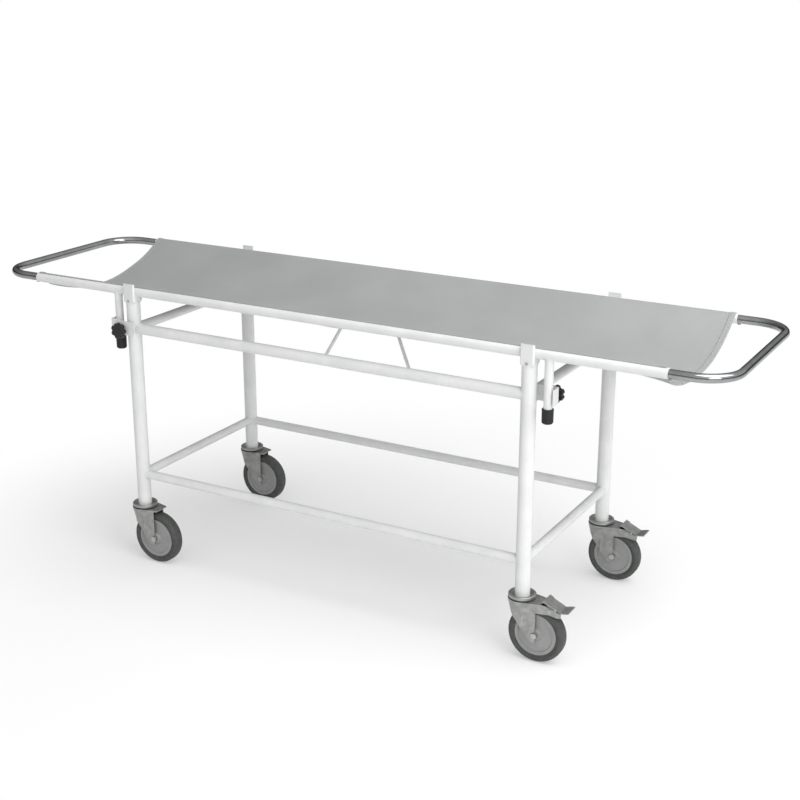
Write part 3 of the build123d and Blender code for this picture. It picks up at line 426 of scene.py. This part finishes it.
# Hem stitches: two rows of thread along each turned end. The real ones are 3 mm long in thin
# thread, and are drawn longer and thicker so that they show.
STITCH_PITCH = 8.0
STITCH_LENGTH = 5.5
STITCH_RADIUS = 0.45
STITCH_ROWS = (4.0, 11.5)
STITCH_SIDES = 6
stitch_count = int(cloth_width / STITCH_PITCH)
stitch_half = STITCH_LENGTH / 2 / cloth_width
stitch_lift = 2 * HEM_ROUND + CLOTH_THICKNESS / 2 + STITCH_RADIUS / 2
bm = bmesh.new()
for end in (-1, 1):
    for row in STITCH_ROWS:
        x = end * (SLING_HALF - row)
        for i in range(1, stitch_count):
            middle = i / stitch_count
            front = on_sling(x, middle - stitch_half, stitch_lift)
            rear = on_sling(x, middle + stitch_half, stitch_lift)
            lie = (rear - front).to_track_quat("Z", "Y").to_matrix().to_4x4()
            bmesh.ops.create_cone(
                bm, cap_ends=True, segments=STITCH_SIDES, radius1=STITCH_RADIUS * MM,
                radius2=STITCH_RADIUS * MM, depth=(rear - front).length,
                matrix=Matrix.Translation((front + rear) / 2) @ lie)
stitch_mesh = bpy.data.meshes.new("sling_stitches")
bm.to_mesh(stitch_mesh)
bm.free()
sling_stitches = bpy.data.objects.new("sling_stitches", stitch_mesh)
bpy.context.scene.collection.objects.link(sling_stitches)
stitch_thread, thread_shader = new_material("grey_polyester_thread", "#A9ABA9", roughness=0.6)
mottle(stitch_thread, thread_shader, "#A3A5A3", "#AFB1AF", 3)
stitch_mesh.materials.append(stitch_thread)
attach(sling_stitches, "stretcher")

# Studio floor: pale paper that takes the trolley's soft shadows, and turns to plain white for
# the camera further away.
FLOOR_RADIUS = 14.0
FLOOR_BELOW = 0.5 * MM
WHITE_FROM = 0.65
WHITE_AT = 1.6
LEAST_WHITE = 0.32
bm = bmesh.new()
bmesh.ops.create_circle(bm, cap_ends=True, segments=96, radius=FLOOR_RADIUS)
floor_mesh = bpy.data.meshes.new("studio_floor")
bm.to_mesh(floor_mesh)
bm.free()
studio_floor = bpy.data.objects.new("studio_floor", floor_mesh)
bpy.context.scene.collection.objects.link(studio_floor)
studio_floor.location.z = -FLOOR_BELOW
floor_paper, floor_shader = new_material("pale_paper", "#FAFAFA", roughness=0.9)
floor_mesh.materials.append(floor_paper)
floor_coord = add_node(floor_paper, "ShaderNodeTexCoord")
distance = add_node(floor_paper, "ShaderNodeVectorMath", {0: floor_coord.outputs["Object"]},
                    operation="LENGTH")
fade = add_node(floor_paper, "ShaderNodeMapRange", {"Value": distance.outputs["Value"]},
                {"From Min": WHITE_FROM, "From Max": WHITE_AT, "To Min": LEAST_WHITE},
                interpolation_type="SMOOTHSTEP")
seen = add_node(floor_paper, "ShaderNodeLightPath")
share = add_node(floor_paper, "ShaderNodeMath",
                 {0: seen.outputs["Is Camera Ray"], 1: fade.outputs["Result"]},
                 operation="MULTIPLY")
glow = add_node(floor_paper, "ShaderNodeEmission",
                values={"Color": (1, 1, 1, 1), "Strength": 1.0})
blend = add_node(floor_paper, "ShaderNodeMixShader",
                 {0: share.outputs["Value"], 1: floor_shader.outputs["BSDF"],
                  2: glow.outputs["Emission"]})
floor_surface = floor_paper.node_tree.nodes["Material Output"].inputs["Surface"]
floor_paper.node_tree.links.new(blend.outputs["Shader"], floor_surface)

# Room: brightest high up on the camera's right, dim low on the left. What shines also reflects
# a darker band round the horizon, as between lamps and floor. The camera sees plain white.
BRIGHT_SIDE = Vector((0.78, -0.38, 0.5)).normalized()
world = bpy.data.worlds.new("studio")
bpy.context.scene.world = world
world.use_nodes = True
ways = add_node(world, "ShaderNodeTexCoord")
rays = add_node(world, "ShaderNodeLightPath")
facing = add_node(world, "ShaderNodeVectorMath", {0: ways.outputs["Generated"]},
                  {1: BRIGHT_SIDE}, operation="DOT_PRODUCT")
shade = add_node(world, "ShaderNodeMapRange", {"Value": facing.outputs["Value"]},
                 {"From Min": -0.55, "From Max": 0.95, "To Min": 0.2, "To Max": 1.03})
height = add_node(world, "ShaderNodeSeparateXYZ", {"Vector": ways.outputs["Generated"]})
band = add_node(world, "ShaderNodeMapRange", {"Value": height.outputs["Z"]},
                {"From Min": 0.08, "From Max": 0.34, "To Min": 0.12},
                interpolation_type="SMOOTHSTEP")
shiny = add_node(world, "ShaderNodeMix",
                 {"Factor": rays.outputs["Is Glossy Ray"], "B": band.outputs["Result"]},
                 {"A": 1.0}, data_type="FLOAT")
lit = add_node(world, "ShaderNodeMath",
               {0: shade.outputs["Result"], 1: shiny.outputs["Result"]}, operation="MULTIPLY")
level = add_node(world, "ShaderNodeMix",
                 {"Factor": rays.outputs["Is Camera Ray"], "A": lit.outputs["Value"]},
                 {"B": 1.0}, data_type="FLOAT")
sky = world.node_tree.nodes["Background"]
sky.inputs["Color"].default_value = (1, 1, 1, 1)
world.node_tree.links.new(level.outputs["Result"], sky.inputs["Strength"])


# Lamps: two square softboxes, one above the right half and one low on the camera's right.
def soft_lamp(name, place, aim, size, watts):
    """A square softbox at a place, turned to face a point."""
    light = bpy.data.lights.new(name, "AREA")
    light.shape = "SQUARE"
    light.size = size
    light.energy = watts
    lamp = bpy.data.objects.new(name, light)
    lamp.location = place
    lamp.rotation_euler = (Vector(aim) - Vector(place)).to_track_quat("-Z", "Y").to_euler()
    bpy.context.scene.collection.objects.link(lamp)


soft_lamp("top_softbox", (1.7, -0.3, 2.9), (0.3, 0, 0.6), 2.2, 50)
soft_lamp("right_softbox", (3.4, -2.4, 2.0), (0.3, 0, 0.5), 1.8, 34)

# Camera: at the photograph's place, turned to its view, with the lens of a 36 mm wide sensor.
CAMERA_PLACE = Vector((1.8621, -3.1566, 1.7307))
YAW, PITCH, ROLL = -0.5101, -0.3233, 0.0016
LENS_MM = 62.83
SENSOR_MM = 36.0
forward = Vector((math.sin(YAW) * math.cos(PITCH), math.cos(YAW) * math.cos(PITCH),
                  math.sin(PITCH)))
level_right = Vector((math.cos(YAW), -math.sin(YAW), 0))
level_up = level_right.cross(forward)
right = level_right * math.cos(ROLL) + level_up * math.sin(ROLL)
up = level_up * math.cos(ROLL) - level_right * math.sin(ROLL)
camera_data = bpy.data.cameras.new("camera")
camera_data.lens = LENS_MM
camera_data.sensor_width = SENSOR_MM
camera = bpy.data.objects.new("camera", camera_data)
turn = Matrix((right, up, -forward)).transposed().to_4x4()
camera.matrix_world = Matrix.Translation(CAMERA_PLACE) @ turn
bpy.context.scene.collection.objects.link(camera)
bpy.context.scene.camera = camera
bpy.context.scene.view_settings.view_transform = "Standard"
